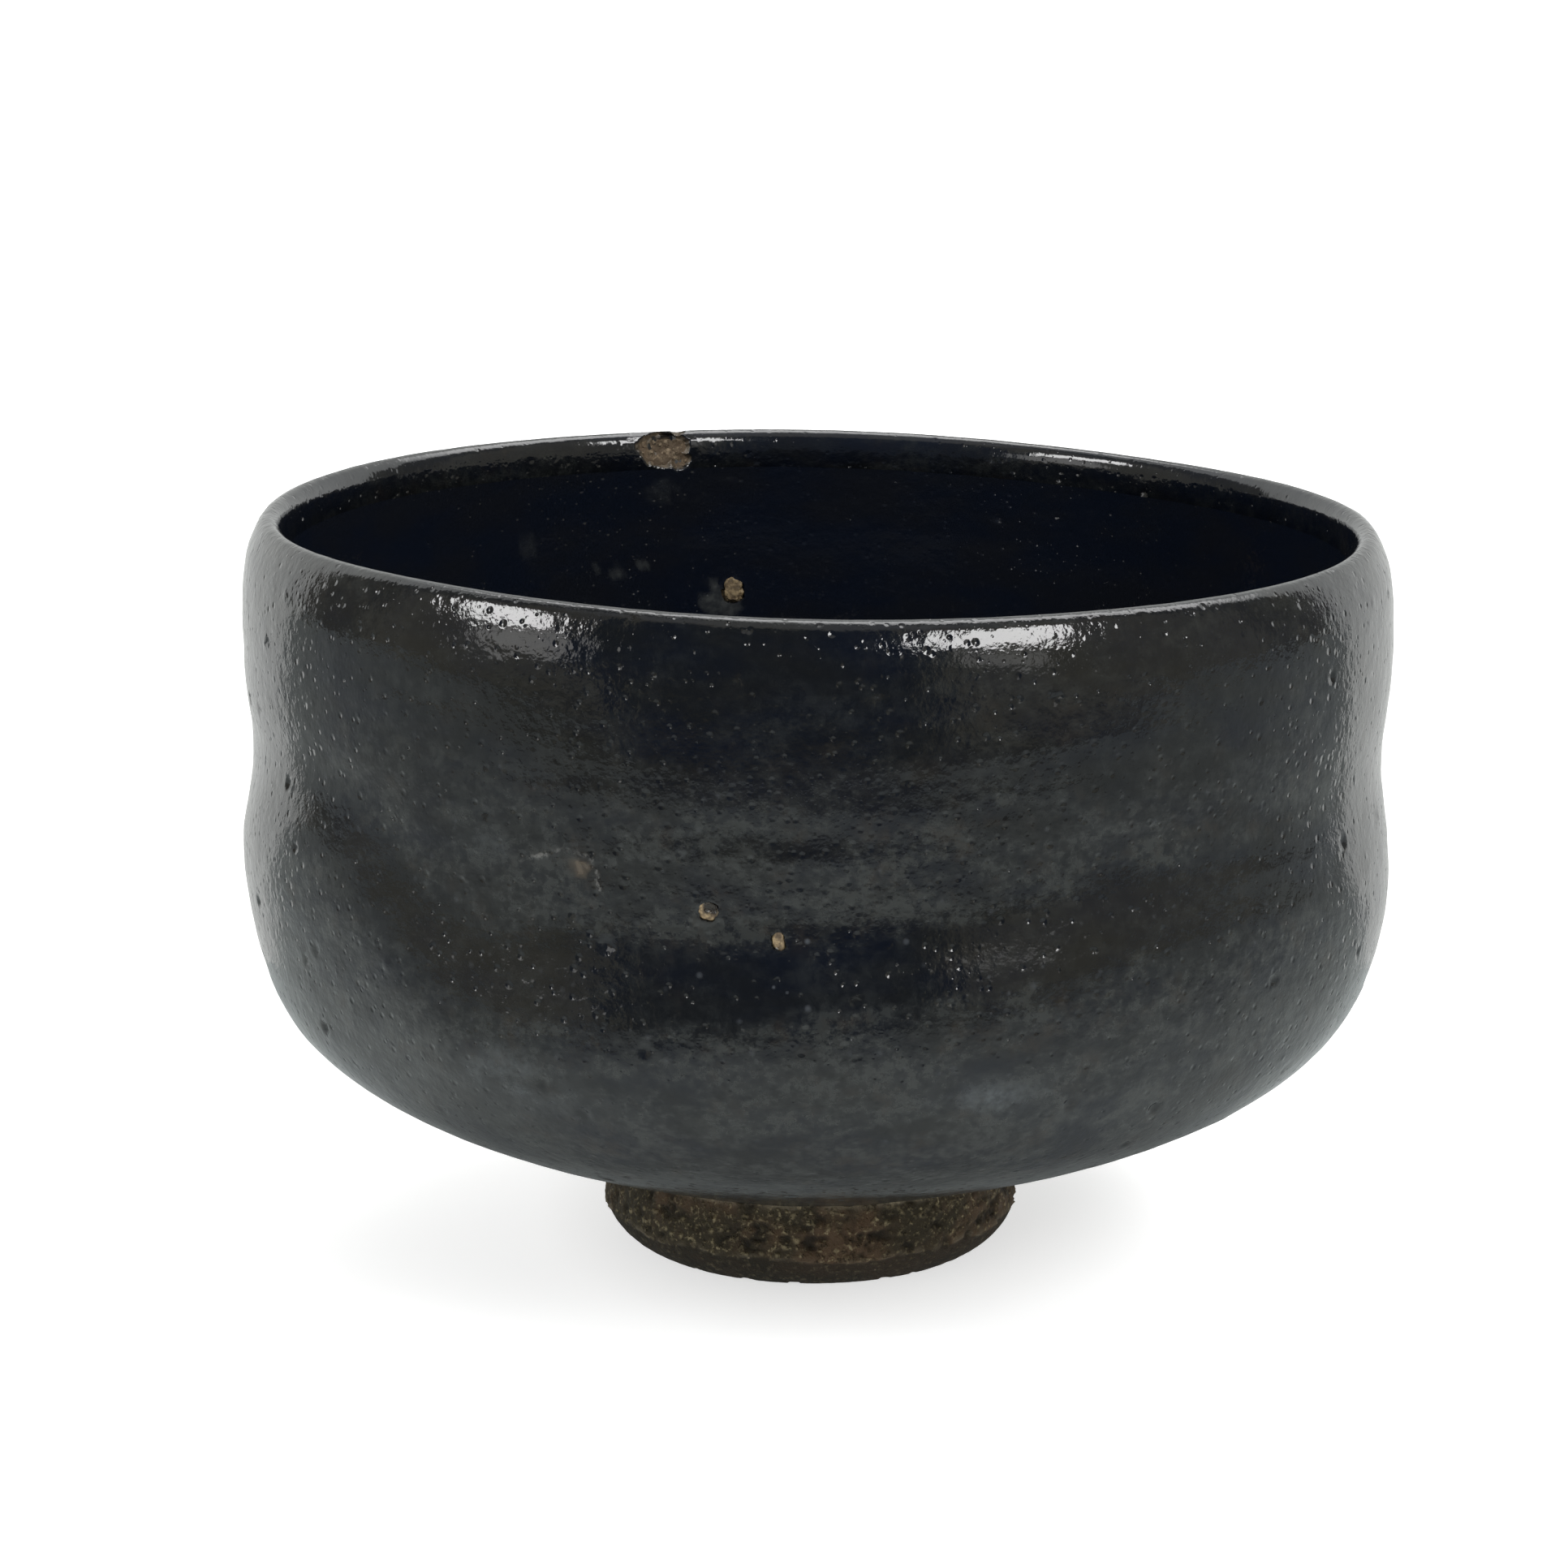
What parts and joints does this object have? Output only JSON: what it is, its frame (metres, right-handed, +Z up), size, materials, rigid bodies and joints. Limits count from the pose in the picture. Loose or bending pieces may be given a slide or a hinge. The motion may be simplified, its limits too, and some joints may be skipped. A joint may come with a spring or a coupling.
{
  "type": "matcha bowl",
  "caption": "Round hand-thrown stoneware tea bowl with a soft lip, narrow waist and small bare clay foot, for whisking and drinking matcha.",
  "frame": {"origin": "centre of the foot ring's resting face", "axes": "+Z up along the bowl's turning axis, out of its mouth; the chip in the lip is towards +Y, a little to -X"},
  "size_m": [0.12, 0.12, 0.0778],
  "materials": {
    "stoneware": "unglazed, rough, fired brown",
    "foot_clay": "unglazed, turned, gritty dark brown",
    "outer_glaze": "glossy black with pinholes",
    "inner_glaze": "glossy black",
    "stone": "rough tan grit"
  },
  "bodies": {
    "root": {"clay_body": "stoneware", "foot_ring": "foot_clay", "outer_glaze": "outer_glaze", "inner_glaze": "inner_glaze", "stone_grains": "stone"}
  },
  "joints": []
}
